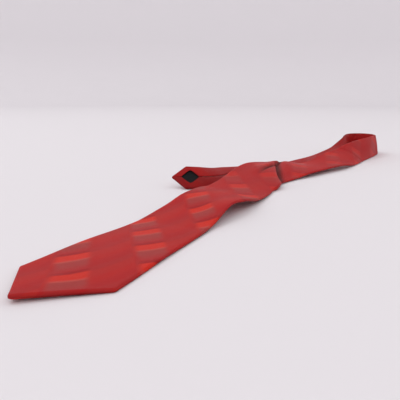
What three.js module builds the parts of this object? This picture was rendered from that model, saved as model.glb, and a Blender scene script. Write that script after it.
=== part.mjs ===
// A silk necktie lying in a loose loop: a bias-cut envelope in three panels, the
// interlining inside it, the lining in both points, and the hand sewing that closes it.
// Millimetres, +Z up, the wide point towards -X, the neck loop towards +X.
import * as THREE from 'three';

// Driving sizes of the tie
const bladeWidth = 87; // across the wide shoulders
const neckWidth = 39.6;
const tailWidth = 38; // across the narrow shoulders
const tipSkew = 5; // the wide point lies this far to the left of the blade's middle
const layLength = 876; // how far the lay reaches from the wide point to the end of the loop
const thickness = 3.6; // all layers
const clothThickness = 0.6; // the outer silk, with its turnings
const liningThickness = 0.3;
const layerGap = 0.3;
const bladeHem = 9; // silk turned in along the sides of the wide point
const tailHem = 9;
const seamHalfGap = 0.7; // half the gap between the turned edges down the back
const bladeSeamAt = 700; // bias seam between the blade and the neck panels, from the wide point
const tailSeamAt = 935; // bias seam between the neck and the tail panels
const panelGap = 1.8; // room for the seam thread between two panels
const threadRadius = 0.25;
const tackLength = 8;
const tackWidth = 1.4;
const tackBehindTip = 8; // from the inner corner of the lining to the bar tack
const tackRamp = 0.3; // how gently the opening widens at a bar tack
const threadSunk = 0.05; // hand stitches lie this far under the outer face of the back
const keeperAt = 272; // keeper loop, from the wide point
const keeperWidth = 12;
const keeperThickness = 0.8;
const keeperBow = 1.6; // how far the keeper stands off the back
const labelAt = 243;
const labelLength = 26;
const labelWidth = 12;
const labelThickness = 0.4;

// The lay: centre of the strip in plan, height under its low edge, and roll in degrees.
// Roll 0 lies front side up, 90 stands on its edge, 180 would lie front side down.
const nominalLay = 876;
const lay = [
  [-439, -56, 3, 0],
  [-394, -49, 0, 0],
  [-356, -43, 0, 0],
  [-318, -37, 0, 0],
  [-259, -29, 0, 0],
  [-213, -23, 4, 1],
  [-184, -21, 9, 3],
  [-157, -20, 9, 5],
  [-126, -17, 3, 9],
  [-76, -8, 0, 17],
  [-39, 0, 0, 22],
  [-3, 5, 0, 24],
  [38, 3, 0, 21],
  [84, -6, 4, 13],
  [130, -14, 8, 11],
  [175, -25, 6, 26],
  [230, -31, 0, 48],
  [286, -33, 0, 63],
  [341, -36, 0, 72],
  [386, -34, 0, 77],
  [412, -31, 0, 80],
  [430, -19, 0, 83],
  [437, -2, 0, 86],
  [431, 15, 0, 90],
  [414, 24, 0, 95],
  [390, 22, 0, 105],
  [361, 13, 0, 120],
  [316, 9, 0, 143],
  [268, 10, 0, 156],
  [210, 14, 0, 163],
  [142, 23, 0, 167],
  [84, 31, 0, 168],
  [29, 46, 0, 163],
  [-22, 53, 0, 155],
  [-59, 52, 0, 147],
  [-84, 63, 0, 140],
  [-108, 92, 0, 137],
].map(([x, y, lift, roll]) => [(x * layLength) / nominalLay, (y * layLength) / nominalLay, lift, roll]);

// How the width falls from the wide shoulders to the neck: distance from the point, share left
const taper = [
  [0, 1], [44, 1], [270, 0.612], [416, 0.459], [483, 0.327], [580, 0.184], [735, 0.03], [870, 0],
];

const half = thickness / 2;
const radians = Math.PI / 180;

function between(table, at) {
  let i = 1;
  while (i < table.length - 1 && table[i][0] < at) i += 1;
  const [a, b] = [table[i - 1], table[i]];
  const share = THREE.MathUtils.clamp((at - a[0]) / (b[0] - a[0]), 0, 1);
  return a[1] + (b[1] - a[1]) * share;
}

// Smooth curve through the rows of the lay, spaced by their distance in plan
const knots = lay.reduce((list, row, i) => {
  list.push(i === 0 ? 0 : list[i - 1] + Math.hypot(row[0] - lay[i - 1][0], row[1] - lay[i - 1][1]));
  return list;
}, []);

function layAt(t) {
  let i = 0;
  while (i < knots.length - 2 && knots[i + 1] < t) i += 1;
  const step = knots[i + 1] - knots[i];
  const u = (t - knots[i]) / step;
  const slope = (k, column) => {
    const a = Math.max(k - 1, 0);
    const b = Math.min(k + 1, knots.length - 1);
    return (lay[b][column] - lay[a][column]) / (knots[b] - knots[a]);
  };
  return [0, 1, 2, 3].map((column) => {
    const start = lay[i][column];
    const end = lay[i + 1][column];
    return (2 * u ** 3 - 3 * u ** 2 + 1) * start + (u ** 3 - 2 * u ** 2 + u) * step * slope(i, column)
      + (3 * u ** 2 - 2 * u ** 3) * end + (u ** 3 - u ** 2) * step * slope(i + 1, column);
  });
}

// The strip's centre line at every 2 mm or so, with its distance along the cloth
const fineSteps = 760;
const line = [];
for (let k = 0; k <= fineSteps; k += 1) {
  const [x, y, height, roll] = layAt((knots[knots.length - 1] * k) / fineSteps);
  const lift = Math.max(0, height);
  const before = line[k - 1];
  const along = before ? before.along + Math.hypot(x - before.x, y - before.y) : 0;
  line.push({ x, y, lift, roll: roll * radians, along });
}
const tieLength = line[fineSteps].along;

function widthAt(s) {
  if (s < 870) return neckWidth + (bladeWidth - neckWidth) * between(taper, s);
  return neckWidth + ((tailWidth - neckWidth) * (s - 870)) / (tieLength - 870);
}

// Half the strip's width, narrowing to the right-angled points
function halfWidthAt(s) {
  return Math.min(widthAt(s) / 2, s, tieLength - s);
}

line.forEach((p) => {
  const w = widthAt(p.along);
  p.z = (w / 2) * Math.abs(Math.sin(p.roll)) + half * Math.abs(Math.cos(p.roll)) + p.lift;
});
line.forEach((p, k) => {
  const a = line[Math.max(k - 1, 0)];
  const b = line[Math.min(k + 1, fineSteps)];
  const forward = new THREE.Vector3(b.x - a.x, b.y - a.y, b.z - a.z).normalize();
  const left = new THREE.Vector3(-(b.y - a.y), b.x - a.x, 0).normalize();
  const across = left.multiplyScalar(Math.cos(p.roll)).add(new THREE.Vector3(0, 0, Math.sin(p.roll)));
  p.normal = new THREE.Vector3().crossVectors(forward, across).normalize();
  p.across = new THREE.Vector3().crossVectors(p.normal, forward).normalize();
});

function skewAt(s) {
  return tipSkew * Math.max(0, 1 - (2 * s) / bladeWidth);
}

// A place in the strip: s along it, t across it (+ is its left edge), n towards its front side
function place(s, t, n) {
  let low = 0;
  let high = fineSteps;
  while (high - low > 1) {
    const middle = (low + high) >> 1;
    if (line[middle].along > s) high = middle;
    else low = middle;
  }
  const [a, b] = [line[low], line[high]];
  const share = (s - a.along) / (b.along - a.along);
  const point = new THREE.Vector3(a.x, a.y, a.z).lerp(new THREE.Vector3(b.x, b.y, b.z), share);
  const across = a.across.clone().lerp(b.across, share).normalize();
  const normal = a.normal.clone().lerp(b.normal, share).normalize();
  return point.addScaledVector(across, t + skewAt(s)).addScaledVector(normal, n);
}

// A closed solid through rings of points. Each ring runs out along one face of a band and back
// along its other face, so point i of the way out faces point count - 1 - i of the way back.
// The section gives each point's place across the band.
function loft(rings, section) {
  const count = rings[0].length;
  const positions = rings.flat().flatMap((p) => [p.x, p.y, p.z]);
  const faces = [];
  for (let r = 0; r < rings.length - 1; r += 1) {
    for (let i = 0; i < count; i += 1) {
      const j = (i + 1) % count;
      const [a, b] = [r * count + i, r * count + j];
      // every layer is cut along the same diagonal, so that twisted layers stay apart
      if (section[j][0] >= section[i][0]) faces.push(a, b, b + count, a, b + count, a + count);
      else faces.push(a, b, a + count, b, b + count, a + count);
    }
  }
  const last = (rings.length - 1) * count;
  for (let i = 0; i < count / 2 - 1; i += 1) {
    const [a, b, c, d] = [i, i + 1, count - 2 - i, count - 1 - i];
    faces.push(a, c, b, a, d, c, last + a, last + b, last + c, last + a, last + c, last + d);
  }
  const geometry = new THREE.BufferGeometry();
  geometry.setAttribute('position', new THREE.Float32BufferAttribute(positions, 3));
  geometry.setIndex(signedVolume(positions, faces) > 0 ? faces : flipped(faces));
  geometry.computeVertexNormals();
  return geometry;
}

function signedVolume(positions, faces) {
  const corner = (i) => new THREE.Vector3().fromArray(positions, 3 * i);
  let sum = 0;
  for (let i = 0; i < faces.length; i += 3) {
    sum += corner(faces[i]).dot(corner(faces[i + 1]).cross(corner(faces[i + 2])));
  }
  return sum;
}

function flipped(faces) {
  const turned = [];
  for (let i = 0; i < faces.length; i += 3) turned.push(faces[i], faces[i + 2], faces[i + 1]);
  return turned;
}

function spaced(start, end, step) {
  const parts = Math.max(1, Math.ceil((end - start) / step));
  return Array.from({ length: parts + 1 }, (_, k) => start + ((end - start) * k) / parts);
}

// Where all layers have their rings: [from, to, spacing], closest round the neck loop
const ringSpacing = [
  [0, 220, 40], [220, 650, 16], [650, 860, 14], [860, 970, 6], [970, 1300, 16], [1300, 2000, 12],
];
const sharedRings = ringSpacing.flatMap(([from, to, step]) => spaced(from, to, step));

const endClear = 0.2; // no shared ring this close to a layer's end
const ringClear = 0.05; // nor this close to the ring before it

function ringStops(start, end) {
  const tips = [...bladeTip.stops, ...tailTip.stops];
  const inside = [...sharedRings, ...tips].filter((s) => s > start + endClear && s < end - endClear);
  const stops = [start, ...inside.sort((a, b) => a - b), end];
  return stops.filter((s, i) => i === 0 || s - stops[i - 1] > ringClear);
}

// Slant of a ring near a bias seam: +t lies towards the wide point there. It is full across the
// gap between two panels, so that their ends and the seam thread run side by side.
const slantReach = 60;
function slantAt(s, seams) {
  const beyond = (seam) => Math.max(0, Math.abs(s - seam) - panelGap / 2);
  return seams.reduce((most, seam) => Math.max(most, 1 - beyond(seam) / slantReach), 0);
}

function ringAt(s, section, seams) {
  const slant = slantAt(s, seams);
  return section.map(([t, n]) => place(s - slant * t, t, n));
}

// Half the opening between the turned edges of the silk on the back. Near a point it widens to
// the diamond that shows the lining; at the bar tack it makes room for the stitches.
function openingAt(d, width, hem) {
  const diamond = Math.min(d - hem * Math.SQRT2, width - d);
  const tackMiddle = width + tackBehindTip;
  const reach = tackWidth / 2 + layerGap;
  const atTack = THREE.MathUtils.clamp(1 - (Math.abs(d - tackMiddle) - reach) / tackRamp, 0, 1);
  const tackRoom = atTack * (tackLength / 2 + layerGap);
  return Math.max(seamHalfGap, diamond, tackRoom);
}

function openingStops(width, hem) {
  const inner = hem * Math.SQRT2;
  const middle = width + tackBehindTip;
  const reach = tackWidth / 2 + layerGap;
  return [inner, inner + seamHalfGap, (width + inner) / 2, width / 2, width - seamHalfGap,
    middle - reach - tackRamp, middle - reach, middle + reach, middle + reach + tackRamp];
}

// Section of the silk: one closed C whose two ends are the turned edges at the back seam
const edgeRound = 0.9;
function silkSection(a, e) {
  const c = clothThickness;
  const r = Math.min(edgeRound, a / 3);
  const open = Math.min(e, a - r - c);
  const quarter = (a - r) / 2;
  const flap = Math.max(quarter, (open + a - r) / 2 - seamHalfGap / 2);
  const right = [
    [open, -half], [flap, -half], [a - r, -half], [a, -half + r],
    [a, half - r], [a - r, half], [quarter, half],
  ];
  const inside = [
    [quarter, half - c], [a - r, half - c], [a - c, half - r], [a - c, -half + r], [a - r, -half + c],
    [flap, -half + c], [open, -half + c],
  ];
  const mirror = ([t, n]) => [-t, n];
  return [
    ...right, [0, half], ...right.map(mirror).reverse(),
    ...inside.map(mirror).reverse(), [0, half - c], ...inside,
  ];
}

function silkPanel(start, end, seams, tip) {
  const stops = ringStops(start, end);
  const sections = stops.map((s) => silkSection(halfWidthAt(s), tip ? tip.opening(s) : seamHalfGap));
  const rings = stops.map((s, i) => ringAt(s, sections[i], seams));
  const middle = sections[Math.floor(sections.length / 2)];
  return loft(rings, middle);
}

// A flat layer inside the strip, kept a margin in from its edges
function layer(start, end, seams, low, high, margin) {
  const box = (a) => {
    const quarter = (a - edgeRound) / 2;
    const places = [margin - a, -quarter, 0, quarter, a - margin];
    return [...places.map((t) => [t, low]), ...places.map((t) => [-t, high])];
  };
  const rings = ringStops(start, end).map((s) => ringAt(s, box(halfWidthAt(s)), seams));
  return loft(rings, box(tailWidth / 2));
}

// A run of thread through a list of places, with a small round section
function thread(points, radius) {
  const curve = new THREE.CatmullRomCurve3(points);
  const sides = 6;
  const outline = [];
  for (let i = 0; i < sides; i += 1) {
    const turn = (2 * Math.PI * i) / sides;
    outline.push(new THREE.Vector2(radius * Math.cos(turn), radius * Math.sin(turn)));
  }
  const shape = new THREE.Shape(outline);
  const steps = points.length - 1;
  return new THREE.ExtrudeGeometry(shape, { steps, bevelEnabled: false, extrudePath: curve });
}

// Layers from the back of the strip to its front
const liningLow = -half + clothThickness + layerGap;
const liningHigh = liningLow + liningThickness;
const canvasLow = liningHigh + layerGap;
const canvasHigh = half - clothThickness - layerGap;
const canvasMargin = clothThickness + 2 * layerGap;

const fromTail = (s) => tieLength - s;
const bladeTip = {
  opening: (s) => openingAt(s, bladeWidth, bladeHem),
  stops: openingStops(bladeWidth, bladeHem),
};
const tailTip = {
  opening: (s) => openingAt(fromTail(s), tailWidth, tailHem),
  stops: openingStops(tailWidth, tailHem).map(fromTail),
};
const tipBlunt = 2.5; // the points are this far from a true corner
const bladeEnd = bladeSeamAt - panelGap / 2;
const neckStart = bladeSeamAt + panelGap / 2;
const neckEnd = tailSeamAt - panelGap / 2;
const tailStart = tailSeamAt + panelGap / 2;
const tailEnd = tieLength - tipBlunt;

const bladeEnvelope = () => silkPanel(tipBlunt, bladeEnd, [bladeSeamAt], bladeTip);
const neckEnvelope = () => silkPanel(neckStart, neckEnd, [bladeSeamAt, tailSeamAt]);
const tailEnvelope = () => silkPanel(tailStart, tailEnd, [tailSeamAt], tailTip);

const canvasFromTip = 16; // the interlining stops short of the points
const canvasPanel = (start, end, seams) => layer(start, end, seams, canvasLow, canvasHigh, canvasMargin);
const bladeCanvas = () => canvasPanel(canvasFromTip, bladeEnd, [bladeSeamAt]);
const neckCanvas = () => canvasPanel(neckStart, neckEnd, [bladeSeamAt, tailSeamAt]);
const tailCanvas = () => canvasPanel(tailStart, fromTail(canvasFromTip), [tailSeamAt]);

const liningFromTip = 8;
const liningPast = 4; // the lining runs on under the turned edges past its diamond
const liningMargin = 3;
const liningPanel = (start, end) => layer(start, end, [], liningLow, liningHigh, liningMargin);
const bladeLining = () => liningPanel(liningFromTip, bladeWidth + liningPast);
const tailLining = () => liningPanel(fromTail(tailWidth + liningPast), fromTail(liningFromTip));

// The slip stitch lies in the opening between the turned edges and wanders a little from side to side
const stitchStep = 9;
const stitchSway = 0.12;
const stitchDepth = -half + clothThickness / 2 + threadSunk;
const stitchEndRoom = 6; // from the bar tack to the end of the run
const stitchSeamRoom = 1; // from the end of a panel
function slipStitch(start, end) {
  const stops = spaced(start, end, stitchStep);
  return thread(stops.map((s, i) => place(s, i % 2 ? stitchSway : -stitchSway, stitchDepth)), threadRadius);
}
const stitchFrom = (width) => width + tackBehindTip + stitchEndRoom;
const bladeStitch = () => slipStitch(stitchFrom(bladeWidth), bladeEnd - stitchSeamRoom);
const neckStitch = () => slipStitch(neckStart + stitchSeamRoom, neckEnd - stitchSeamRoom);
const tailStitch = () => slipStitch(tailStart + stitchSeamRoom, fromTail(stitchFrom(tailWidth)));

const bandSection = [[-1, 0], [1, 0], [1, 1], [-1, 1]];

// Bar tack: a short bar of thread across the back seam, in the room left for it
function barTack(s) {
  const a = tackLength / 2;
  const w = tackWidth / 2;
  const low = -half + threadSunk;
  const high = low + clothThickness - 2 * threadSunk;
  const ring = (t) => [
    place(s - w, t, low), place(s + w, t, low), place(s + w, t, high), place(s - w, t, high),
  ];
  return loft([-a, 0, a].map(ring), bandSection);
}

// Seam thread: along a bias seam between two panels, just under the front side
const seamThreadInset = 1.5; // from the strip's edges
function seamThread(seam) {
  const a = halfWidthAt(seam) - seamThreadInset;
  const steps = 16;
  const points = [];
  for (let i = 0; i <= steps; i += 1) {
    const t = -a + (2 * a * i) / steps;
    points.push(place(seam - t, t, half - 2 * threadRadius));
  }
  return thread(points, threadRadius);
}

// Keeper: a flat strap across the back, held at its ends and bowed off the silk between them
const keeperInset = 9; // from the edge of the blade to each end of the keeper
const keeperSpan = () => halfWidthAt(keeperAt) - keeperInset;
const keeperBottom = (t) => {
  const share = t / keeperSpan();
  return -half - layerGap - keeperThickness - keeperBow * (1 - share ** 2);
};
function keeper() {
  const w = keeperWidth / 2;
  const steps = 16;
  const rings = [];
  for (let i = 0; i <= steps; i += 1) {
    const t = keeperSpan() * ((2 * i) / steps - 1);
    const low = keeperBottom(t);
    const high = low + keeperThickness;
    rings.push([
      place(keeperAt - w, t, low), place(keeperAt + w, t, low),
      place(keeperAt + w, t, high), place(keeperAt - w, t, high),
    ]);
  }
  return loft(rings, bandSection);
}

// Each end of the keeper is held by a row of stitches just outside it
const keeperTackLength = 10;
const keeperTackWidth = 1;
function keeperTack(side) {
  const w = keeperTackLength / 2;
  const inner = keeperSpan() + layerGap;
  const outer = inner + keeperTackWidth;
  const low = -half - layerGap - keeperThickness;
  const high = -half - layerGap;
  const ring = (t) => [
    place(keeperAt - w, side * t, low), place(keeperAt + w, side * t, low),
    place(keeperAt + w, side * t, high), place(keeperAt - w, side * t, high),
  ];
  return loft([ring(inner), ring(outer)], bandSection);
}

// Blank label, flat against the back
function label() {
  const a = labelLength / 2;
  const high = -half - layerGap;
  const low = high - labelThickness;
  return loft(spaced(labelAt - labelWidth / 2, labelAt + labelWidth / 2, labelWidth / 2).map((s) => {
    return [place(s, -a, low), place(s, a, low), place(s, a, high), place(s, -a, high)];
  }), bandSection);
}

const silk = { color: 0xb03434, roughness: 0.55, metalness: 0 };
const canvas = { color: 0xd8d0be, roughness: 0.95, metalness: 0 };
const lining = { color: 0x17171a, roughness: 0.6, metalness: 0 };
const redThread = { color: 0x8f2426, roughness: 0.6, metalness: 0 };
const tape = { color: 0x1d1d20, roughness: 0.7, metalness: 0 };

const necktie = new THREE.Group();
function add(name, geometry, finish) {
  const mesh = new THREE.Mesh(geometry, new THREE.MeshStandardMaterial(finish));
  mesh.name = name;
  necktie.add(mesh);
}

add('blade_envelope', bladeEnvelope(), silk);
add('neck_envelope', neckEnvelope(), silk);
add('tail_envelope', tailEnvelope(), silk);
add('blade_interlining', bladeCanvas(), canvas);
add('neck_interlining', neckCanvas(), canvas);
add('tail_interlining', tailCanvas(), canvas);
add('blade_tipping', bladeLining(), lining);
add('tail_tipping', tailLining(), lining);
add('blade_slip_stitch', bladeStitch(), redThread);
add('neck_slip_stitch', neckStitch(), redThread);
add('tail_slip_stitch', tailStitch(), redThread);
add('blade_bar_tack', barTack(bladeWidth + tackBehindTip), redThread);
add('tail_bar_tack', barTack(fromTail(tailWidth + tackBehindTip)), redThread);
add('blade_bias_seam_thread', seamThread(bladeSeamAt), redThread);
add('tail_bias_seam_thread', seamThread(tailSeamAt), redThread);
add('keeper_loop', keeper(), silk);
add('keeper_tack_left', keeperTack(1), redThread);
add('keeper_tack_right', keeperTack(-1), redThread);
add('care_label', label(), tape);

export default necktie;
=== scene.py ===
import math

import bpy
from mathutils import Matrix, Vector


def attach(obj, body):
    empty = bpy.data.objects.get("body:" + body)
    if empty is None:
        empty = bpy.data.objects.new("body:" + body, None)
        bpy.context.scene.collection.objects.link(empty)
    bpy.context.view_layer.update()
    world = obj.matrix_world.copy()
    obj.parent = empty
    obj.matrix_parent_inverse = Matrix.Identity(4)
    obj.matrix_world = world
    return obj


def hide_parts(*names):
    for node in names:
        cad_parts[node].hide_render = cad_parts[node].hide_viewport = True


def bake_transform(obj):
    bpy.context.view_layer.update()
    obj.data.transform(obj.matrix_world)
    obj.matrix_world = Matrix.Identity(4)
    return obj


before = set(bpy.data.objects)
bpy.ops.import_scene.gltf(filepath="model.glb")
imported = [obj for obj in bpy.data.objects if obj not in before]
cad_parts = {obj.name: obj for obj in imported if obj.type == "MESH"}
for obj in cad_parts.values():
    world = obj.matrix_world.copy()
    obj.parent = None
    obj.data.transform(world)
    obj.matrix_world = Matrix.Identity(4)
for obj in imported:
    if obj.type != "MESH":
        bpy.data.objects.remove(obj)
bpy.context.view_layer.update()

# silk necktie laid in a loose loop; everything is metres, z up, wide point towards -x
mm = 0.001
root = "blade_and_neck"
tail = "tail"
bpy.ops.object.select_all(action="DESELECT")

strip = {
    "bladeWidth": 87 * mm,       # across the wide shoulders
    "neckWidth": 39.6 * mm,
    "tailWidth": 38 * mm,
    "tipSkew": 5 * mm,           # the wide point lies this far to the left of the middle
    "halfThick": 1.8 * mm,
    "neckFrom": 870 * mm,        # the taper has reached the neck width here
    "bladeSeam": 700 * mm,       # bias seams, from the wide point
    "tailSeam": 935 * mm,
    "seamGap": 0.35 * mm,
    "slantReach": 60 * mm,       # how far the bias slant is felt beside a seam
    "tipRound": 1.3 * mm,
    "shoulderRound": 1.2 * mm,
    "thinnestTip": 0.1 * mm,
    "lowest": 0.02 * mm,         # cloth settles this far above what it lies on
    "closestRings": 0.08 * mm,
    "fineSteps": 760,            # pieces that the centre line is measured in
}

# the lay: plan x, plan y and height under the low edge in mm, roll in degrees
# roll 0 is front side up, 90 stands on its edge, 180 would be front side down
lay = [
    (-439, -56, 3, 0), (-394, -49, 0, 0), (-356, -43, 0, 0), (-318, -37, 0, 0),
    (-259, -29, 0, 0), (-213, -23, 4, 1), (-184, -21, 9, 3), (-157, -20, 9, 5),
    (-126, -17, 3, 9), (-76, -8, 0, 17), (-39, 0, 0, 22), (-3, 5, 0, 24),
    (38, 3, 0, 21), (84, -6, 4, 13), (130, -14, 6, 3), (175, -25, 6, 15),
    (230, -31, 0, 38), (286, -33, 0, 58), (341, -36, 0, 71), (386, -34, 0, 77),
    (412, -31, 0, 80), (428, -18, 0, 83), (434, -1, 0, 86), (428, 15, 0, 90),
    (413, 24, 0, 96), (390, 22, 0, 107), (361, 13, 0, 126), (316, 9, 0, 149),
    (268, 10, 0, 160), (210, 14, 0, 167), (142, 23, 0, 171), (84, 31, 0, 170),
    (29, 46, 0, 163), (-22, 53, 0, 155), (-59, 52, 0, 147), (-84, 63, 0, 140),
    (-108, 92, 0, 137),
]

# distance from the wide point in mm, share of the extra width left
taper = [
    (0, 1), (44, 1), (270, 0.612), (416, 0.459),
    (483, 0.327), (580, 0.184), (735, 0.03), (870, 0),
]


def between(table, at):
    i = 1
    while i < len(table) - 1 and table[i][0] < at:
        i += 1
    (x0, y0), (x1, y1) = table[i - 1], table[i]
    return y0 + (y1 - y0) * min(max((at - x0) / (x1 - x0), 0), 1)


def smooth(low, high, x):
    share = min(max((x - low) / (high - low), 0), 1)
    return share * share * (3 - 2 * share)


def bump(x, middle, reach):
    return math.exp(-((x - middle) / reach) ** 2)


knots = [0.0]
for before, row in zip(lay, lay[1:]):
    knots.append(knots[-1] + math.hypot(row[0] - before[0], row[1] - before[1]))


def layAt(at):
    i = 0
    while i < len(knots) - 2 and knots[i + 1] < at:
        i += 1
    step = knots[i + 1] - knots[i]
    u = (at - knots[i]) / step

    def slope(k, column):
        a, b = max(k - 1, 0), min(k + 1, len(knots) - 1)
        return (lay[b][column] - lay[a][column]) / (knots[b] - knots[a])

    return [
        (2 * u**3 - 3 * u**2 + 1) * lay[i][column]
        + (u**3 - 2 * u**2 + u) * step * slope(i, column)
        + (3 * u**2 - 2 * u**3) * lay[i + 1][column]
        + (u**3 - u**2) * step * slope(i + 1, column)
        for column in range(4)
    ]


fineSteps = strip["fineSteps"]
line = []  # the strip's centre line: x, y, lift, roll and the distance along the cloth
for k in range(fineSteps + 1):
    x, y, lift, roll = layAt(knots[-1] * k / fineSteps)
    x, y, lift, roll = x * mm, y * mm, max(lift, 0) * mm, math.radians(roll)
    along = line[-1]["along"] + math.hypot(x - line[-1]["x"], y - line[-1]["y"]) if line else 0.0
    line.append({"x": x, "y": y, "lift": lift, "roll": roll, "along": along})
tieLength = line[-1]["along"]


def widthAt(s):
    if s < strip["neckFrom"]:
        return strip["neckWidth"] + (strip["bladeWidth"] - strip["neckWidth"]) * between(taper, s / mm)
    share = (s - strip["neckFrom"]) / (tieLength - strip["neckFrom"])
    return strip["neckWidth"] + (strip["tailWidth"] - strip["neckWidth"]) * share


def halfWidthAt(s):
    # the right-angled points, a little rounded, as are the shoulders
    w, d = widthAt(s) / 2, min(s, tieLength - s)
    r, k = strip["tipRound"], strip["shoulderRound"]
    if d < r * math.sqrt(0.5):
        return math.sqrt(max(r * r - (r * math.sqrt(2) - d) ** 2, strip["thinnestTip"] ** 2))
    h = max(k - abs(w - d), 0) / k
    return min(w, d) - h * h * k / 4


for p in line:
    w = widthAt(p["along"]) / 2
    p["z"] = w * abs(math.sin(p["roll"])) + strip["halfThick"] * abs(math.cos(p["roll"])) + p["lift"]
for k, p in enumerate(line):
    a, b = line[max(k - 1, 0)], line[min(k + 1, fineSteps)]
    forward = Vector((b["x"] - a["x"], b["y"] - a["y"], b["z"] - a["z"])).normalized()
    left = Vector((-(b["y"] - a["y"]), b["x"] - a["x"], 0)).normalized()
    across = left * math.cos(p["roll"]) + Vector((0, 0, math.sin(p["roll"])))
    p["normal"] = forward.cross(across).normalized()
    p["across"] = p["normal"].cross(forward).normalized()
    p["point"] = Vector((p["x"], p["y"], p["z"]))


# the fold where the blade lies over its own band; "ahead" is measured back from its lip
crossing = {
    "at": 457 * mm,          # where the lip crosses the middle of the strip
    "span": 100 * mm,        # nothing of the fold is felt further off than this
    "lean": 1.6,             # the lip lies further along at the left edge
    "leanReach": 100 * mm,
    "height": 5.4 * mm,
    "climb": (62 * mm, 4 * mm),      # the blade climbs from one to the other, ahead
    "roundOver": (5 * mm, 0),
    "roundShare": 0.3,
    "reach": 7 * mm,         # how far the lip hangs over the band
    "reachFrom": 9 * mm,
    "turnUnder": 1.6 * mm,   # length in which the silk turns under the lip
    "underHeight": 0.45,     # shares of the height and reach left where it does
    "underReach": 0.85,
    "dip": (-0.3 * mm, 2.4 * mm, 3 * mm),  # depth, place and reach of the hollow behind it
    "runOut": (27 * mm, 9 * mm),     # across, the lip runs out towards the far edge
    "flare": 4 * mm,         # the near edge stands out before the lip
    "flareFrom": (52 * mm, 16 * mm),
    "flareStop": (-1 * mm, 1 * mm),
    "flareEdge": (0.2, 1.0),         # shares of the half width
    "shade": 0.75,           # painted shadow on the band behind the lip: how dark it is
    "shadeFrom": (0.5 * mm, -0.6 * mm),
    "shadeTo": (-31 * mm, -16 * mm),
    "shadeAcross": (26 * mm, 12 * mm),
    "shadeFar": 0.45,        # share of it left at the far edge
}

# the pleat that runs from the far edge of that fold back into the blade
pleat = {
    "line": [(405, 1), (461, 6), (491, 14), (514, 26)],  # mm along, mm across
    "deepens": (400 * mm, 460 * mm),
    "fades": (527 * mm, 505 * mm),
    "depth": 3.4 * mm, "wide": 2.8 * mm,
    "fanAway": 15 * mm, "fanWide": 10 * mm, "fanHeight": 2.6 * mm,
    "farAway": 8 * mm, "farWide": 6 * mm, "farHeight": 0.9 * mm,
    # painted shade along the pleat's valley: how dark, how wide, where it deepens and fades
    "shade": 0.85, "shadeWide": 2.5 * mm,
    "shadeFrom": (407 * mm, 461 * mm),
    "shadeTo": (521 * mm, 513 * mm),
}

# unevenness that all layers share: height in mm, waves along, waves across, start
ripples = [(0.35, 61, 0, 1.3), (0.3, 37, -40, 0)]
rippleEnds = 30 * mm
pleatSpan = 80 * mm
# the right edge of the blade stands off the table here
stand = {"height": 5.5 * mm, "at": 245 * mm, "reach": 31 * mm}


def crease(s, t):
    # a valley pulled in from the far edge, with the cloth fanned up on both sides of it
    strength = smooth(*pleat["deepens"], s) * smooth(*pleat["fades"], s)
    middle = between(pleat["line"], s / mm) * mm
    valley = -pleat["depth"] * bump(t, middle, pleat["wide"])
    fan = pleat["fanHeight"] * bump(t, middle - pleat["fanAway"], pleat["fanWide"])
    far = pleat["farHeight"] * bump(t, middle + pleat["farAway"], pleat["farWide"])
    return strength * (valley + fan + far)


def ripple(s, t):
    out = t / halfWidthAt(min(max(s, rippleEnds), tieLength - rippleEnds))
    waves = sum(high * math.sin(s * along + t * over + start) for high, along, over, start in ripples)
    edge = stand["height"] * bump(s, stand["at"], stand["reach"]) * smooth(0.0, 1.0, -out)
    near = abs(s - crossing["at"]) < pleatSpan
    return waves * out**2 * mm + edge + (crease(s, t) if near else 0)


def place(s, t, n):
    low, high = 0, fineSteps
    while high - low > 1:
        middle = (low + high) // 2
        if line[middle]["along"] > s:
            high = middle
        else:
            low = middle
    a, b = line[low], line[high]
    share = (s - a["along"]) / (b["along"] - a["along"])
    across = a["across"].lerp(b["across"], share).normalized()
    normal = a["normal"].lerp(b["normal"], share).normalized()
    skew = strip["tipSkew"] * max(0, 1 - 2 * s / strip["bladeWidth"])
    point = a["point"].lerp(b["point"], share) + across * (t + skew) + normal * (n + ripple(s, t))
    point.z = max(point.z, strip["lowest"])
    return point


def slantAt(s, slants):
    # each slant is (where, how much, how far it is felt); rings lean over there
    lean = 0
    for where, much, reach in slants:
        lean += much * max(0, 1 - abs(s - where) / reach)
    return lean


def stopsBetween(start, end, step, extra=()):
    parts = max(1, math.ceil((end - start) / step))
    stops = [start + (end - start) * k / parts for k in range(parts + 1)]
    stops += [s for s in extra if start < s < end]
    kept = []
    for s in sorted(stops):
        if not kept or s - kept[-1] > strip["closestRings"]:
            kept.append(s)
    return kept


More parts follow.
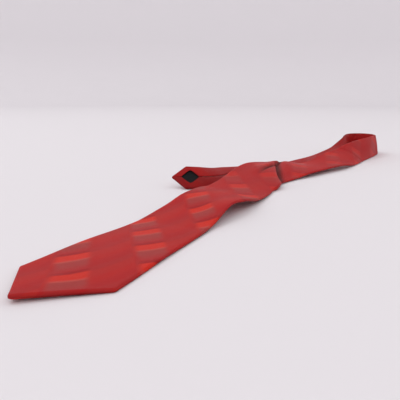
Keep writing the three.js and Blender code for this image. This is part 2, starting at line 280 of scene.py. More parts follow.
def makePiece(name, rings, uvRings, material, shades=None):
    # a closed skin through rings; point i of a ring faces point count - 1 - i of the same ring
    count = len(rings[0])
    verts = [p for ring in rings for p in ring]
    faces = []
    for r in range(len(rings) - 1):
        for i in range(count):
            j = (i + 1) % count
            faces.append((r * count + i, r * count + j, (r + 1) * count + j, (r + 1) * count + i))
    last = (len(rings) - 1) * count
    for i in range(count // 2 - 1):
        a, b, c, d = i, i + 1, count - 2 - i, count - 1 - i
        faces.append((d, c, b, a))
        faces.append((last + a, last + b, last + c, last + d))
    mesh = bpy.data.meshes.new(name)
    mesh.from_pydata(verts, [], faces)
    uvs = [uv for ring in uvRings for uv in ring]
    layer = mesh.uv_layers.new(name="cloth")
    for loop in mesh.loops:
        layer.data[loop.index].uv = uvs[loop.vertex_index]
    if shades:
        # painted shade per point, read by the silk material
        layer = mesh.attributes.new("paintedShade", "FLOAT", "POINT")
        layer.data.foreach_set("value", [shade for ring in shades for shade in ring])
    volume = 0.0
    for face in mesh.polygons:
        corners = [mesh.vertices[v].co for v in face.vertices]
        for k in range(1, len(corners) - 1):
            volume += corners[0].dot(corners[k].cross(corners[k + 1]))
    if volume < 0:
        mesh.flip_normals()
    mesh.materials.append(material)
    piece = bpy.data.objects.new(name, mesh)
    bpy.context.collection.objects.link(piece)
    bpy.ops.object.select_all(action="DESELECT")
    piece.select_set(True)
    bpy.context.view_layer.objects.active = piece
    bpy.ops.object.shade_smooth_by_angle(angle=math.radians(50))
    return piece


print("shader groups")


def addSocket(group, name, kind, out=False, value=None):
    socket = group.interface.new_socket(
        name=name, in_out="OUTPUT" if out else "INPUT", socket_type="NodeSocket" + kind
    )
    if value is not None:
        socket.default_value = value
    return socket


class Nodes:
    # short calls for building a node tree
    def __init__(self, tree):
        self.tree = tree
        self.column = 0

    def add(self, kind, inputs=(), **settings):
        node = self.tree.nodes.new(kind)
        self.column += 1
        node.location = (self.column * 40 - 900, -(self.column % 12) * 90)
        for key, value in settings.items():
            setattr(node, key, value)
        for key, value in dict(inputs).items():
            if isinstance(value, bpy.types.NodeSocket):
                self.tree.links.new(value, node.inputs[key])
            else:
                node.inputs[key].default_value = value
        return node

    def math(self, operation, a, b=0.0, c=0.0):
        return self.add("ShaderNodeMath", {0: a, 1: b, 2: c}, operation=operation).outputs[0]

    def ease(self, value, low, high):
        node = self.add(
            "ShaderNodeMapRange",
            {"Value": value, "From Min": low, "From Max": high},
            interpolation_type="SMOOTHSTEP",
        )
        return node.outputs["Result"]

    def mix(self, factor, a, b, blend="MIX"):
        node = self.add("ShaderNodeMix", {0: factor, 6: a, 7: b}, data_type="RGBA", blend_type=blend)
        return node.outputs[2]

    def noise(self, where, scale, detail):
        node = self.add("ShaderNodeTexNoise", {"Vector": where, "Scale": scale, "Detail": detail})
        return node.outputs["Fac"]

    def scaled(self, colour, gain):
        return self.add("ShaderNodeVectorMath", {0: colour, "Scale": gain}, operation="SCALE").outputs[0]

    def ramp(self, value, stops):
        node = self.add("ShaderNodeValToRGB", {"Fac": value})
        elements = node.color_ramp.elements
        while len(elements) < len(stops):
            elements.new(0.5)
        for element, (position, colour) in zip(elements, stops):
            element.position = position
            element.color = (*colour, 1)
        return node.outputs["Color"]


weaving = {
    "wobbleScale": 240.0,       # unevenness of the threads
    "wobble": 3.0,
    "crossed": 0.35,            # share of the height where threads cross
    "ribbed": 0.3,              # share of the height in the ribs
    "slubStretch": (900, 60, 1),
    "heightTone": 0.5,          # how far the height shows in the colour
}


def weaveGroup():
    # fine diagonal ribs with crossing threads; Rib is their pitch in metres
    group = bpy.data.node_groups.new("clothWeave", "ShaderNodeTree")
    addSocket(group, "Cloth", "Vector")
    addSocket(group, "Rib", "Float", value=0.0005)
    addSocket(group, "Height", "Float", out=True)
    addSocket(group, "Tone", "Float", out=True)
    n = Nodes(group)
    inputs = n.add("NodeGroupInput").outputs
    xyz = n.add("ShaderNodeSeparateXYZ", {0: inputs["Cloth"]}).outputs
    turn = n.math("DIVIDE", math.tau, inputs["Rib"])
    warp = n.math("MULTIPLY", n.math("ADD", xyz[0], xyz[1]), turn)
    weft = n.math("MULTIPLY", n.math("SUBTRACT", xyz[0], xyz[1]), turn)
    wobble = n.noise(inputs["Cloth"], weaving["wobbleScale"], 2.0)
    shift = n.math("MULTIPLY", wobble, weaving["wobble"])
    rib = n.math("SINE", n.math("ADD", warp, shift))
    cross = n.math("SINE", n.math("MULTIPLY", n.math("ADD", weft, shift), 0.5))
    ribbed = n.math("MULTIPLY", rib, weaving["ribbed"])
    height = n.math("MULTIPLY_ADD", n.math("MULTIPLY", rib, cross), weaving["crossed"], ribbed)
    drawn = n.add(
        "ShaderNodeVectorMath", {0: inputs["Cloth"], 1: weaving["slubStretch"]}, operation="MULTIPLY"
    )
    slub = n.math("SUBTRACT", n.noise(drawn.outputs[0], 1.0, 3.0), 0.5)
    tone = n.math("ADD", n.math("MULTIPLY", height, weaving["heightTone"]), slub)
    out = n.add("NodeGroupOutput")
    group.links.new(height, out.inputs["Height"])
    group.links.new(tone, out.inputs["Tone"])
    return group


jacquard = {
    "turn": 5.7,                # degrees off the tie's true bias
    "columnWidth": 30.4 * mm,
    "columnFrom": 16.5 * mm,    # where the first striped column begins
    "repeat": 40 * mm,          # along a striped column
    "firstStripe": -4 * mm,
    "columnShift": 13 * mm,     # each striped column starts this much later
    "bow": 8 * mm,              # how much the stripes curve up
    "base": (0.415, 0.015, 0.016),
    "bright": (0.60, 0.022, 0.010),
    "line": (0.50, 0.066, 0.052),
    "mauve": (0.36, 0.036, 0.033),
    "dark": (0.34, 0.008, 0.010),
    "edgeScale": 55.0,          # unevenness of a column's edges
    "edgeWander": 0.12,
    "fadeIn": (0.0, 0.2),       # shares of a column
    "fadeOut": (0.80, 1.0),
    "streakAcross": 18.0,
    "streakAlong": 420.0,
    "streaks": 0.05,
    "faintFrom": 0.45,          # the mauve squares of the plain columns
    "faint": 0.30,
    "squareStarts": (0.0, 0.06),
    "squareEnds": (0.5, 0.56),
    "warmFrom": 0.15,           # and their brighter patches
    "warm": 0.22,
    "warmStarts": (0.35, 0.6),
    "loses": 0.5,               # the pattern loses this much towards the narrow end
    "losesBetween": (0.27, 0.40),
}


def jacquardGroup():
    # broken stripes in every second column, on cloth coordinates: x across, y along the tie
    group = bpy.data.node_groups.new("stripeJacquard", "ShaderNodeTree")
    addSocket(group, "Cloth", "Vector")
    addSocket(group, "Strength", "Float", value=1.0)
    addSocket(group, "Color", "Color", out=True)
    addSocket(group, "Striped", "Float", out=True)
    n = Nodes(group)
    inputs = n.add("NodeGroupInput").outputs
    xyz = n.add("ShaderNodeSeparateXYZ", {0: inputs["Cloth"]}).outputs
    turn = math.radians(45 + jacquard["turn"])
    sine, cosine = math.sin(turn), math.cos(turn)
    q = n.math("ADD", n.math("MULTIPLY", xyz[1], sine), n.math("MULTIPLY", xyz[0], cosine))
    p = n.math("SUBTRACT", n.math("MULTIPLY", xyz[1], cosine), n.math("MULTIPLY", xyz[0], sine))
    wander = jacquard["edgeWander"]
    soft = n.noise(inputs["Cloth"], jacquard["edgeScale"], 2.0)
    softly = n.math("MULTIPLY_ADD", soft, wander, -wander / 2)

    columns = n.math("DIVIDE", n.math("SUBTRACT", p, jacquard["columnFrom"]), 2 * jacquard["columnWidth"])
    cell = n.math("FLOOR", columns)
    u = n.math("MULTIPLY", n.math("FRACT", columns), 2.0)
    edge = n.math("ADD", u, softly)
    rise = n.ease(edge, *jacquard["fadeIn"])
    fall = n.math("SUBTRACT", 1.0, n.ease(edge, *jacquard["fadeOut"]))
    striped = n.math("MULTIPLY", rise, fall)

    start = n.math("MULTIPLY_ADD", cell, jacquard["columnShift"], jacquard["firstStripe"])
    bowed = n.math("SUBTRACT", q, n.math("MULTIPLY", n.math("MULTIPLY", u, u), jacquard["bow"]))
    phase = n.math("DIVIDE", n.math("SUBTRACT", bowed, start), jacquard["repeat"])
    streakX = n.math("MULTIPLY", p, jacquard["streakAcross"])
    streakY = n.math("MULTIPLY", bowed, jacquard["streakAlong"])
    streak = n.noise(n.add("ShaderNodeCombineXYZ", {0: streakX, 1: streakY}).outputs[0], 1.0, 2.0)
    drift = n.math("MULTIPLY_ADD", streak, jacquard["streaks"], -jacquard["streaks"] / 2)
    base, bright, mauve = ((*jacquard[key], 1) for key in ("base", "bright", "mauve"))
    order = [
        (0.0, "dark"), (0.06, "base"), (0.30, "mauve"), (0.50, "mauve"), (0.57, "line"),
        (0.64, "bright"), (0.88, "bright"), (0.94, "dark"), (1.0, "dark"),
    ]
    stripe = n.math("FRACT", n.math("ADD", phase, drift))
    stripes = n.ramp(stripe, [(position, jacquard[key]) for position, key in order])
    squares = n.math("FRACT", n.math("ADD", phase, jacquard["faintFrom"]))
    begun = n.ease(squares, *jacquard["squareStarts"])
    faint = n.math("SUBTRACT", begun, n.ease(squares, *jacquard["squareEnds"]))
    plain = n.mix(n.math("MULTIPLY", faint, jacquard["faint"]), base, mauve)
    patches = n.math("FRACT", n.math("ADD", phase, jacquard["warmFrom"]))
    warm = n.ease(patches, *jacquard["warmStarts"])
    plain = n.mix(n.math("MULTIPLY", warm, jacquard["warm"]), plain, bright)
    full = n.mix(striped, plain, stripes)
    fading = n.math("MULTIPLY_ADD", n.ease(xyz[1], *jacquard["losesBetween"]), -jacquard["loses"], 1.0)
    shown = n.math("MULTIPLY", inputs["Strength"], fading)
    out = n.add("NodeGroupOutput")
    group.links.new(n.mix(shown, base, full), out.inputs["Color"])
    group.links.new(striped, out.inputs["Striped"])
    return group


weave = weaveGroup()
broken = jacquardGroup()

print("materials")


def newMaterial(name, **values):
    material = bpy.data.materials.new(name)
    material.use_nodes = True
    shader = material.node_tree.nodes["Principled BSDF"]
    for key, value in values.items():
        shader.inputs[key.replace("_", " ")].default_value = value
    return material, Nodes(material.node_tree), shader


def weaveInto(n, shader, cloth, rib, depth, colour, contrast):
    # shared by all the cloths: thread tone in the colour, thread height in the normal
    woven = n.add("ShaderNodeGroup", node_tree=weave)
    n.tree.links.new(cloth, woven.inputs["Cloth"])
    woven.inputs["Rib"].default_value = rib
    gain = n.math("MULTIPLY_ADD", woven.outputs["Tone"], contrast, 1.0)
    n.tree.links.new(n.scaled(colour, gain), shader.inputs["Base Color"])
    relief = n.add("ShaderNodeBump", {"Height": woven.outputs["Height"], "Strength": 1.0, "Distance": depth})
    n.tree.links.new(relief.outputs["Normal"], shader.inputs["Normal"])
    return woven


silk = {
    "rib": 0.55 * mm,
    "ribDepth": 0.05 * mm,
    "threadContrast": 0.16,
    "cloudScale": 14.0,         # slow lighter and darker patches
    "clouds": 0.16,
    "roughness": 0.52,
    "stripeGloss": 0.07,        # the stripes are this much smoother
    "threadRoughness": 0.06,
}


def silkMaterial(name, strength, toneAndShade):
    # strength is how much of the pattern shows; the last argument darkens the colour, and on the tail it is
    # painted shade
    material, n, shader = newMaterial(
        name, Specular_IOR_Level=0.07, Sheen_Weight=0.04, Sheen_Roughness=0.4,
        Sheen_Tint=(1.0, 0.35, 0.3, 1),
    )
    cloth = n.add("ShaderNodeUVMap", uv_map="cloth").outputs["UV"]
    pattern = n.add("ShaderNodeGroup", node_tree=broken)
    n.tree.links.new(cloth, pattern.inputs["Cloth"])
    pattern.inputs["Strength"].default_value = strength
    shade = n.add("ShaderNodeAttribute", attribute_name="paintedShade").outputs["Fac"]
    clouds = n.noise(cloth, silk["cloudScale"], 3.0)
    level = (1 - silk["clouds"] / 2) * toneAndShade
    gain = n.math("MULTIPLY_ADD", clouds, silk["clouds"] * toneAndShade, level)
    # the painted shade from the attribute darkens the colour
    gain = n.math("MULTIPLY", gain, n.math("SUBTRACT", 1.0, shade))
    colour = n.scaled(pattern.outputs["Color"], gain)
    woven = weaveInto(n, shader, cloth, silk["rib"], silk["ribDepth"], colour, silk["threadContrast"])
    rough = n.math("MULTIPLY_ADD", pattern.outputs["Striped"], -silk["stripeGloss"], silk["roughness"])
    rough = n.math("MULTIPLY_ADD", woven.outputs["Tone"], silk["threadRoughness"], rough)
    n.tree.links.new(rough, shader.inputs["Roughness"])
    return material


plainCloth = {"mottleScale": 60.0, "darker": 0.72, "threadRoughness": 0.08}


def clothMaterial(name, colour, rib, depth, contrast, roughness, **values):
    # mottled between its colour and a darker one
    material, n, shader = newMaterial(name, **values)
    cloth = n.add("ShaderNodeUVMap", uv_map="cloth").outputs["UV"]
    mottle = n.noise(cloth, plainCloth["mottleScale"], 4.0)
    darker = tuple(c * plainCloth["darker"] for c in colour)
    base = n.mix(mottle, (*darker, 1), (*colour, 1))
    woven = weaveInto(n, shader, cloth, rib, depth, base, contrast)
    rough = n.math("MULTIPLY_ADD", woven.outputs["Tone"], plainCloth["threadRoughness"], roughness)
    n.tree.links.new(rough, shader.inputs["Roughness"])
    return material


bladeCloth = silkMaterial("silkJacquard", 1.0, 1.0)
neckCloth = silkMaterial("silkJacquardNeck", 0.9, 0.96)
# the tail's copy is darker as painted shade, with less of the pattern
tailShadedCloth = silkMaterial("silkJacquardTailShaded", 0.35, 0.84)
lining = clothMaterial(
    "blackSatin", (0.0055, 0.005, 0.0062), 0.3 * mm, 0.03 * mm, 0.5, 0.5, Specular_IOR_Level=0.15
)
canvas = clothMaterial("woolCanvas", (0.62, 0.57, 0.46), 1.1 * mm, 0.2 * mm, 0.35, 0.93, Sheen_Weight=0.3)
thread = clothMaterial("redThread", (0.33, 0.024, 0.026), 0.35 * mm, 0.06 * mm, 0.4, 0.55)
tape = clothMaterial("blackTape", (0.02, 0.02, 0.023), 0.6 * mm, 0.08 * mm, 0.6, 0.7)

print("silk envelope")

envelope = {
    "cloth": 0.6 * mm,
    "edgeRound": 1.9 * mm,      # how far in from the edge the roll starts
    "hem": 9 * mm,              # turned in along the sides of the points
    "seamHalfGap": 0.6 * mm,
    "mitreGap": 0.3 * mm,       # where the hems meet at a point
    "tackBehindTip": 8 * mm,
    "crown": 0.7 * mm,          # how much the front swells
    "pillow": 0.9 * mm,         # how much each turned-back half swells
    "smallestHalf": 2.6 * mm,   # sections narrower than this are that one, shrunk
    "tipThin": 0.35,            # share of the thickness left at the very point
    "edgeMargin": 0.3 * mm,     # least turned cloth beside the opening
    "wideOpen": 0.55,           # openings over this share of the half width are held back
    "widestOpen": 0.6,
    "openMargin": 0.2 * mm,
    "frontFrom": (-0.6, 0.8),   # shares of the half thickness over which the back becomes the front
    "lapBack": 0.25 * mm,       # rounding of the turned edge
    "lapLong": 0.3 * mm,
    "groove": 0.5 * mm,         # at the bias seams
    "grooveReach": 1.6 * mm,
    "pull": 0.22 * mm,          # dimples that the hand stitches pull
    "pullStep": 9 * mm,
    "pullReach": 4 * mm,
    "fullHalf": 20 * mm,        # halves narrower than this swell less
    "undersideShade": 0.45,     # painted shade: the lower half of the rolled edge is darker
    "undersideFrom": (0.2, -0.7),
    "undersideEdge": (0.9, 0.97),
    "tailHalfShade": 0.26,            # painted shade: one half of the tail's back is darker
    "tailShadeFrom": (0.4 * mm, -0.4 * mm),
    "ringStep": 3.5 * mm,
    "flatSteps": 13,
    "roundSteps": 7,
}


def openingAt(d, width):
    # half the gap between the turned edges at the back; it widens to the diamond near a point
    hem = envelope["hem"] * math.sqrt(2)
    diamond = min(d - hem, width - d)
    return max(envelope["mitreGap"] if d < hem else envelope["seamHalfGap"], diamond)


def lipShape(ahead):
    # ahead is how far a ring lies before the lip: height and forward reach of the front silk there
    height, reach = crossing["height"], crossing["reach"]
    if ahead > 0:
        rounded = crossing["roundShare"] * smooth(*crossing["roundOver"], ahead)
        up = smooth(*crossing["climb"], ahead) - rounded
        return up * height, smooth(crossing["reachFrom"], 0, ahead) * reach
    under = smooth(0, crossing["turnUnder"], -ahead)
    depth, middle, long = crossing["dip"]
    dip = depth * bump(-ahead, middle, long)
    up = (1 - under) * crossing["underHeight"] * height + dip * under
    return up, (1 - under) * crossing["underReach"] * reach


def silkHalf(a, gap, depth):
    # from the middle of the front round one edge to the turned edge at the back;
    # each entry is (t, n, cloth distance from the middle), depth is 0 outside, the cloth inside
    h = strip["halfThick"]
    r = min(envelope["edgeRound"], a * 0.4)
    run = []
    for k in range(envelope["flatSteps"]):
        t = (a - r) * k / envelope["flatSteps"]
        run.append((t, h - depth, t))
    bend = math.pi * (r + h) / 2
    for k in range(envelope["roundSteps"] + 1):
        turn = math.pi * k / envelope["roundSteps"]
        run.append((
            a - r + (r - depth) * math.sin(turn),
            (h - depth) * math.cos(turn),
            a - r + bend * k / envelope["roundSteps"],
        ))
    for k in range(1, envelope["flatSteps"] + 1):
        t = a - r + (gap - a + r) * k / envelope["flatSteps"]
        run.append((t, depth - h, a - r + bend + (a - r - t)))
    return run


def silkSection(s, gap):
    a = halfWidthAt(s)
    wide = max(a, envelope["smallestHalf"])
    if gap > wide * envelope["wideOpen"]:
        most = wide * envelope["widestOpen"] - envelope["openMargin"]
        gap = min(gap, wide - envelope["edgeRound"] - envelope["edgeMargin"], most)
    outer = silkHalf(wide, gap, 0.0)
    inner = silkHalf(wide, gap, envelope["cloth"])
    middle = envelope["cloth"] / 2 - strip["halfThick"]
    end = (gap - envelope["lapBack"], middle, outer[-1][2] + envelope["lapLong"])
    outerLeft, innerLeft, endLeft = ([(-t, n, -far) for t, n, far in run] for run in (outer, inner, [end]))
    section = outer[::-1] + outerLeft[1:] + endLeft + innerLeft[::-1] + inner[1:] + [end]
    shrinkT = a / wide
    shrinkN = envelope["tipThin"] + (1 - envelope["tipThin"]) * math.sqrt(shrinkT)
    return [(t * shrinkT, n * shrinkN, far * shrinkT) for t, n, far in section]


def swell(s, t, n):
    # the front's crown, or the halves' pillows with the pull of the hand stitches
    a = halfWidthAt(s)
    share = min(abs(t) / a, 1)
    size = min(a / envelope["fullHalf"], 1)
    if n > 0:
        return envelope["crown"] * (1 - share**2) ** 2 * size
    lift = -envelope["pillow"] * math.sin(math.pi * share**0.9) * size
    dimple = math.cos(math.tau * s / envelope["pullStep"]) * math.exp(-abs(t) / envelope["pullReach"])
    return lift + envelope["pull"] * dimple


def paintedShade(at, t, ahead):
    # painted shade: a dark line along the pleat's valley, a painted shadow on the band behind the lip, and a
    # darker half on the tail's back
    if at > strip["tailSeam"]:
        return envelope["tailHalfShade"] * smooth(*envelope["tailShadeFrom"], t)
    strength = smooth(*pleat["shadeFrom"], at) * smooth(*pleat["shadeTo"], at)
    middle = between(pleat["line"], at / mm) * mm
    valley = pleat["shade"] * strength * bump(t, middle, pleat["shadeWide"])
    under = crossing["shade"] * smooth(*crossing["shadeFrom"], ahead) * smooth(*crossing["shadeTo"], ahead)
    left = crossing["shadeFar"]
    under *= left + (1 - left) * smooth(*crossing["shadeAcross"], t)
    return max(valley, under)


def silkPiece(name, start, end, slants, opening, material, extra=()):
    rings, uvRings, shades = [], [], []
    for s in stopsBetween(start, end, envelope["ringStep"], extra):
        slant = slantAt(s, slants)
        toSeam = min(abs(s - seam) for seam in (seamA, seamB))
        groove = envelope["groove"] * math.exp(-toSeam / envelope["grooveReach"])
        ahead = crossing["at"] - s
        lipUp, lipReach = lipShape(ahead) if abs(ahead) < crossing["span"] else (0, 0)
        flare = smooth(*crossing["flareFrom"], ahead) * smooth(*crossing["flareStop"], ahead)
        ring, uvs, dark = [], [], []
        for t, n, far in silkSection(s, opening(s)):
            at = s - slant * t
            outward, depth = t / halfWidthAt(s), n / strip["halfThick"]
            full = smooth(*crossing["runOut"], t)
            front = smooth(*envelope["frontFrom"], depth)
            up = swell(s, t, n) + (-groove if n > 0 else groove) + front * lipUp * full
            side = t - crossing["flare"] * flare * smooth(*crossing["flareEdge"], -outward)
            ring.append(place(at + front * lipReach * full, side, n + up))
            uvs.append((far, at))
            # painted shade on the lower half of the rolled edge
            underside = smooth(*envelope["undersideFrom"], depth)
            underside *= smooth(*envelope["undersideEdge"], abs(outward))
            # painted shade from the folds and the tail's darker half; before the tail seam only on the front
            pressAndShade = paintedShade(at, t, ahead) * (1 if s > seamB else front)
            dark.append(max(pressAndShade, envelope["undersideShade"] * underside))
        rings.append(ring)
        uvRings.append(uvs)
        shades.append(dark)
    return makePiece(name, rings, uvRings, material, shades)


def fromTail(s):
    return tieLength - s


seamA, seamB, seamGap = strip["bladeSeam"], strip["tailSeam"], strip["seamGap"] / 2
bladeWidth, tailWidth = strip["bladeWidth"], strip["tailWidth"]
tipStart = strip["tipRound"] * (math.sqrt(2) - 1) + 0.02 * mm
nearTip = [0.1, 0.3, 0.6, 1.0, 1.5, 2.1, 2.8, 3.6, 4.6]  # extra rings, in mm
nearSeam = [0.6, 1.2, 2.0]
nearLip = [-6, -4.5, -3, -2, -1.2, -0.6, -0.15, 0.3, 0.8, 1.3, 1.8, 2.6, 4, 6]


def tipStops(width):
    hem, gap = envelope["hem"] * math.sqrt(2), envelope["seamHalfGap"]
    stops = [tipStart + d * mm for d in nearTip]
    stops += [hem, hem + gap, (width + hem) / 2, width / 2, width - gap]
    stops += [width / 2 - 1 * mm, width / 2 + 1 * mm]
    return stops


def bladeOpening(s):
    return openingAt(s, bladeWidth)


def neckOpening(s):
    return envelope["seamHalfGap"]


def tailOpening(s):
    return openingAt(fromTail(s), tailWidth)


lipSlant = (crossing["at"], -crossing["lean"], crossing["leanReach"])
slantA, slantB = (seamA, 1, strip["slantReach"]), (seamB, 1, strip["slantReach"])
beforeA, afterA = [seamA - d * mm for d in nearSeam], [seamA + d * mm for d in nearSeam]
beforeB, afterB = [seamB - d * mm for d in nearSeam], [seamB + d * mm for d in nearSeam]
lipStops = [crossing["at"] + d * mm for d in nearLip]
bladeSilk = silkPiece(
    "bladeSilk", tipStart, seamA - seamGap, [lipSlant, slantA], bladeOpening, bladeCloth,
    tipStops(bladeWidth) + beforeA + lipStops,
)
neckSilk = silkPiece(
    "neckSilk", seamA + seamGap, seamB - seamGap, [slantA, slantB], neckOpening, neckCloth,
    afterA + beforeB,
)
tailSilk = silkPiece(
    "tailSilk", seamB + seamGap, fromTail(tipStart), [slantB], tailOpening, tailShadedCloth,
    [fromTail(s) for s in tipStops(tailWidth)] + afterB,
)

print("interlining and tippings")

inside = {
    "canvasLow": -0.3 * mm, "canvasHigh": 0.9 * mm, "canvasMargin": 2.2 * mm, "canvasFromTip": 16 * mm,
    "canvasFromSeam": 0.9 * mm,
    "pressAndShade": (0.9 * mm, 472 * mm, 60 * mm),  # the canvas is thinner under the fold: how much, where, reach
    "liningLow": -0.9 * mm, "liningHigh": -0.6 * mm, "liningMargin": 3 * mm, "liningWave": 0.12 * mm,
    "liningFromTip": 8 * mm, "liningPast": 4 * mm, "ringStep": 3 * mm, "acrossSteps": 24,
}


def layerPiece(name, start, end, seams, low, high, margin, material, wave=0.0):
    steps = inside["acrossSteps"]
    thin, where, reach = inside["pressAndShade"]
    rings, uvRings = [], []
    for s in stopsBetween(start, end, inside["ringStep"]):
        a = halfWidthAt(s) - margin
        slant = slantAt(s, seams)
        places = [a * (2 * k / steps - 1) for k in range(steps + 1)]
        top = high - thin * bump(s, where, reach) * (high > 0)
        run = [(t, low) for t in places] + [(t, top) for t in reversed(places)]
        sway = wave * math.sin(s * 210)
        rings.append([place(s - slant * t, t, n + sway * math.cos(t * 180)) for t, n in run])
        uvRings.append([(t, s - slant * t) for t, n in run])
    return makePiece(name, rings, uvRings, material)


def canvasPiece(name, start, end, seams):
    low, high, margin = inside["canvasLow"], inside["canvasHigh"], inside["canvasMargin"]
    return layerPiece(name, start, end, seams, low, high, margin, canvas)


def liningPiece(name, start, end):
    low, high, margin = inside["liningLow"], inside["liningHigh"], inside["liningMargin"]
    return layerPiece(name, start, end, [], low, high, margin, lining, inside["liningWave"])


fromTip, fromSeam = inside["canvasFromTip"], inside["canvasFromSeam"]
bladeCanvas = canvasPiece("bladeCanvas", fromTip, seamA - fromSeam, [slantA])
neckCanvas = canvasPiece("neckCanvas", seamA + fromSeam, seamB - fromSeam, [slantA, slantB])
tailCanvas = canvasPiece("tailCanvas", seamB + fromSeam, fromTail(fromTip), [slantB])
bladeLining = liningPiece("bladeLining", inside["liningFromTip"], bladeWidth + inside["liningPast"])
tailLining = liningPiece(
    "tailLining", fromTail(tailWidth + inside["liningPast"]), fromTail(inside["liningFromTip"])
)

print("hand sewing")

sewing = {
    "radius": 0.25 * mm,
    "step": 9 * mm,          # one ladder stitch
    "bar": [(0, -0.5), (0.5, 0), (1.0, 0.5), (4.5, 0.35)],  # its places: mm along, mm across
    "fromSeam": 3 * mm,
    "fromTack": 6 * mm,
    "tackHalf": 2.6 * mm,
    "tackLong": 0.45 * mm,
    "tackHigh": 0.25 * mm,
    "tackWraps": 11,
    "turnSteps": 8,          # places in one wrap
    "fineRadius": 0.22 * mm,
    "seamInset": 1.5 * mm,   # a seam's thread ends this far inside the edge
    "seamDepth": 0.75 * mm,  # and lies this far under the front
    "seamWave": 0.12 * mm,
    "seamSteps": 40,
    "sides": 6,
}


def threadPiece(name, points, radius):
    # a round thread through a list of places, with its length as the cloth coordinate
    sides = sewing["sides"]
    turns = [math.tau * i / sides for i in range(sides)]
    rings, uvRings, run = [], [], 0.0
    for k, point in enumerate(points):
        a, b = points[max(k - 1, 0)], points[min(k + 1, len(points) - 1)]
        way = (b - a).normalized()
        side = way.cross(Vector((0.31, 0.52, 0.8))).normalized()
        up = side.cross(way)
        run += (point - points[max(k - 1, 0)]).length
        rings.append([point + side * (radius * math.cos(x)) + up * (radius * math.sin(x)) for x in turns])
        uvRings.append([(i * 0.3 * mm, run) for i in range(sides)])
    return makePiece(name, rings, uvRings, thread)


def ladder(name, start, end):
    # runs inside one turned edge, then crosses to the other, so short bars show in the gap
    points = []
    count = int((end - start) / sewing["step"])
    depth = -strip["halfThick"] + envelope["cloth"] / 2
    for k in range(count):
        side = 1 if k % 2 else -1
        s = start + (end - start) * k / count
        for along, across in sewing["bar"]:
            points.append(place(s + along * mm, side * across * mm, depth))
    return threadPiece(name, points, sewing["radius"])


def tackPiece(name, s):
    # a satin bar: close wraps over a core
    points = []
    around, half = sewing["turnSteps"], sewing["tackHalf"]
    steps = sewing["tackWraps"] * around
    for k in range(steps + 1):
        turn = math.tau * k / around
        along = s + sewing["tackLong"] * math.cos(turn)
        high = -strip["halfThick"] + sewing["tackHigh"] * math.sin(turn)
        points.append(place(along, half * (2 * k / steps - 1), high))
    return threadPiece(name, points, sewing["fineRadius"])


def seamLine(name, seam):
    a = halfWidthAt(seam) - sewing["seamInset"]
    steps = sewing["seamSteps"]
    points = []
    for k in range(steps + 1):
        t = a * (2 * k / steps - 1)
        high = strip["halfThick"] - sewing["seamDepth"] + sewing["seamWave"] * math.sin(k * 2.1)
        points.append(place(seam - t, t, high))
    return threadPiece(name, points, sewing["fineRadius"])


afterTack, offSeam = envelope["tackBehindTip"] + sewing["fromTack"], sewing["fromSeam"]
bladeStitches = ladder("bladeStitches", bladeWidth + afterTack, seamA - offSeam)
neckStitches = ladder("neckStitches", seamA + offSeam, seamB - offSeam)
tailStitches = ladder("tailStitches", seamB + offSeam, fromTail(tailWidth + afterTack))
bladeTack = tackPiece("bladeTack", bladeWidth + envelope["tackBehindTip"])
tailTack = tackPiece("tailTack", fromTail(tailWidth + envelope["tackBehindTip"]))
bladeSeamThread = seamLine("bladeSeamThread", seamA)
tailSeamThread = seamLine("tailSeamThread", seamB)

print("keeper and label")

keeper = {
    "at": 272 * mm, "width": 12 * mm, "thick": 0.8 * mm, "bow": 1.6 * mm, "inset": 9 * mm,
    "clear": 0.35 * mm, "steps": 28, "acrossSteps": 8, "fold": 0.2 * mm,
    "tackHalf": 4.6 * mm, "tackSteps": 32, "tackOut": 0.7 * mm,
    "tackPast": 0.9 * mm, "tackZigzag": 0.35 * mm, "tackRadius": 0.24 * mm,
}
label = {
    "at": 243 * mm, "long": 26 * mm, "wide": 12 * mm, "thick": 0.4 * mm, "clear": 0.3 * mm,
    "steps": 12, "acrossSteps": 20, "edge": 0.12 * mm, "fold": 0.15 * mm, "foldLong": 3 * mm,
}


def backAt(s, t):
    # how far out the silk of the back lies there, counted towards the back
    return strip["halfThick"] - swell(s, t, -1)


def keeperPiece():
    span = halfWidthAt(keeper["at"]) - keeper["inset"]
    width, parts = keeper["width"], keeper["acrossSteps"]
    places = [width * (i / parts - 0.5) for i in range(parts + 1)]
    rings, uvRings = [], []
    for k in range(keeper["steps"] + 1):
        t = span * (2 * k / keeper["steps"] - 1)
        out = backAt(keeper["at"], t) + keeper["clear"] + keeper["bow"] * (1 - (t / span) ** 2)
        ring = []
        for ds in places:
            fold = keeper["fold"] * abs(2 * ds / width) ** 6
            ring.append(place(keeper["at"] + ds, t, -out - keeper["thick"] + fold))
        for ds in reversed(places):
            ring.append(place(keeper["at"] + ds, t, -out))
        rings.append(ring)
        uvRings.append([(t, keeper["at"] + ds) for ds in places + places[::-1]])
    return makePiece("keeperStrap", rings, uvRings, bladeCloth)


def keeperTack(name, side):
    span = halfWidthAt(keeper["at"]) - keeper["inset"]
    out = backAt(keeper["at"], span) + keeper["tackOut"]
    steps = keeper["tackSteps"]
    points = []
    for k in range(steps + 1):
        ds = keeper["tackHalf"] * (2 * k / steps - 1)
        past = keeper["tackPast"] + keeper["tackZigzag"] * (-1) ** k
        points.append(place(keeper["at"] + ds, side * (span + past), -out))
    return threadPiece(name, points, keeper["tackRadius"])


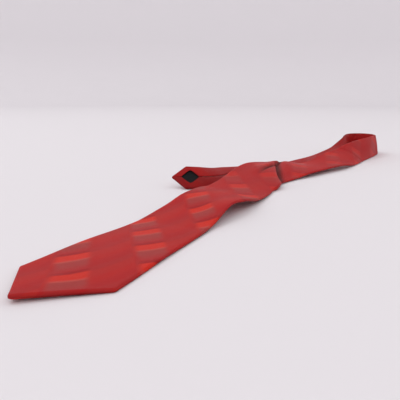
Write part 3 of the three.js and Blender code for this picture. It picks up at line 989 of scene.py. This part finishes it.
def labelPiece():
    long, steps, parts = label["long"], label["steps"], label["acrossSteps"]
    places = [long * (i / parts - 0.5) for i in range(parts + 1)]
    rings, uvRings = [], []
    for k in range(steps + 1):
        s = label["at"] + label["wide"] * (k / steps - 0.5)
        edge = label["edge"] * (abs(k - steps / 2) / (steps / 2)) ** 8
        ring = []
        for t in places:
            fold = label["fold"] if abs(t) > long / 2 - label["foldLong"] else 0
            ring.append(place(s, t, -backAt(s, t) - label["clear"] - label["thick"] - fold + edge))
        for t in reversed(places):
            ring.append(place(s, t, -backAt(s, t) - label["clear"]))
        rings.append(ring)
        uvRings.append([(t, s) for t in places + places[::-1]])
    return makePiece("blankLabel", rings, uvRings, tape)


keeperStrap = keeperPiece()
keeperTackLeft = keeperTack("keeperTackLeft", 1)
keeperTackRight = keeperTack("keeperTackRight", -1)
blankLabel = labelPiece()

print("hide cad parts, attach to bodies")

fixed = [
    (bladeSilk, "blade_envelope", "silk"), (neckSilk, "neck_envelope", "silk"),
    (bladeCanvas, "blade_interlining", "canvas"), (neckCanvas, "neck_interlining", "canvas"),
    (bladeLining, "blade_tipping", "lining"),
    (bladeStitches, "blade_slip_stitch", "thread"), (neckStitches, "neck_slip_stitch", "thread"),
    (bladeTack, "blade_bar_tack", "thread"),
    (bladeSeamThread, "blade_bias_seam_thread", "thread"),
    (tailSeamThread, "tail_bias_seam_thread", "thread"),
    (keeperStrap, "keeper_loop", "silk"), (keeperTackLeft, "keeper_tack_left", "thread"),
    (keeperTackRight, "keeper_tack_right", "thread"), (blankLabel, "care_label", "tape"),
]
for piece, node, slotName in fixed:
    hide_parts(node)
    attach(piece, root)
bending = [
    (tailSilk, "tail_envelope", "silk"), (tailCanvas, "tail_interlining", "canvas"),
    (tailStitches, "tail_slip_stitch", "thread"),
]
for piece, node, slotName in bending:
    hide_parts(node)
    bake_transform(piece)
swinging = [(tailLining, "tail_tipping", "lining"), (tailTack, "tail_bar_tack", "thread")]
for piece, node, slotName in swinging:
    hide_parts(node)
    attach(piece, tail)

print("studio")

studio = {
    "floorRadius": 3.6, "wallHeight": 1.1, "bend": 0.6, "bendSteps": 7,
    "floorColour": (0.80, 0.78, 0.80), "worldColour": (0.94, 0.91, 0.928), "worldLight": 0.96,
    "keyPlace": (-1.6, 2.6, 4.2), "keySize": 2.6, "keyPower": 38,
    "fillPlace": (-1.3, -1.2, 1.5), "fillSize": 1.8, "fillPower": 0.6,
}


def makeFloor():
    # a round sweep: floor, a curved rise and a wall, one mesh
    bpy.ops.object.select_all(action="DESELECT")
    bpy.ops.mesh.primitive_circle_add(vertices=96, radius=studio["floorRadius"], fill_type="NGON")
    floor = bpy.context.object
    floor.name = "studioSweep"
    bpy.ops.object.mode_set(mode="EDIT")
    bpy.ops.mesh.select_mode(type="EDGE")
    bpy.ops.mesh.select_all(action="SELECT")
    bpy.ops.mesh.region_to_loop()
    radius = studio["floorRadius"]
    for k in range(studio["bendSteps"]):
        low, high = (math.pi / 2 * j / studio["bendSteps"] for j in (k, k + 1))
        up = studio["bend"] * (math.cos(low) - math.cos(high))
        wider = radius + studio["bend"] * (math.sin(high) - math.sin(low))
        bpy.ops.mesh.extrude_edges_move(TRANSFORM_OT_translate={"value": (0, 0, up)})
        bpy.ops.transform.resize(value=(wider / radius, wider / radius, 1), center_override=(0, 0, 0))
        radius = wider
    bpy.ops.mesh.extrude_edges_move(TRANSFORM_OT_translate={"value": (0, 0, studio["wallHeight"])})
    bpy.ops.mesh.select_all(action="SELECT")
    bpy.ops.mesh.normals_make_consistent(inside=True)
    bpy.ops.object.mode_set(mode="OBJECT")
    bpy.ops.object.shade_smooth_by_angle(angle=math.radians(40))
    paint = newMaterial("paleFloor", Base_Color=(*studio["floorColour"], 1), Roughness=0.8)[0]
    floor.data.materials.append(paint)
    return floor


def areaLight(name, at, size, power):
    bpy.ops.object.light_add(type="AREA", location=at)
    lamp = bpy.context.object
    lamp.name = name
    lamp.data.shape = "DISK"
    lamp.data.size = size
    lamp.data.energy = power
    lamp.rotation_euler = (-Vector(at)).to_track_quat("-Z", "Y").to_euler()


makeFloor()
areaLight("keyLight", studio["keyPlace"], studio["keySize"], studio["keyPower"])
areaLight("fillLight", studio["fillPlace"], studio["fillSize"], studio["fillPower"])
world = bpy.data.worlds.new("softWorld")
world.use_nodes = True
world.node_tree.nodes["Background"].inputs["Color"].default_value = (*studio["worldColour"], 1)
world.node_tree.nodes["Background"].inputs["Strength"].default_value = studio["worldLight"]
bpy.context.scene.world = world
bpy.context.scene.view_settings.view_transform = "Standard"

camera = {"place": (-0.5807, -0.2990, 0.1272), "heading": 36.0, "down": 13.27, "lens": 41.4}
bpy.ops.object.camera_add(
    location=camera["place"],
    rotation=(math.radians(90 - camera["down"]), 0, math.radians(camera["heading"] - 90)),
)
bpy.context.object.data.lens = camera["lens"]
bpy.context.object.data.sensor_width = 36
bpy.context.scene.camera = bpy.context.object

bpy.context.view_layer.update()
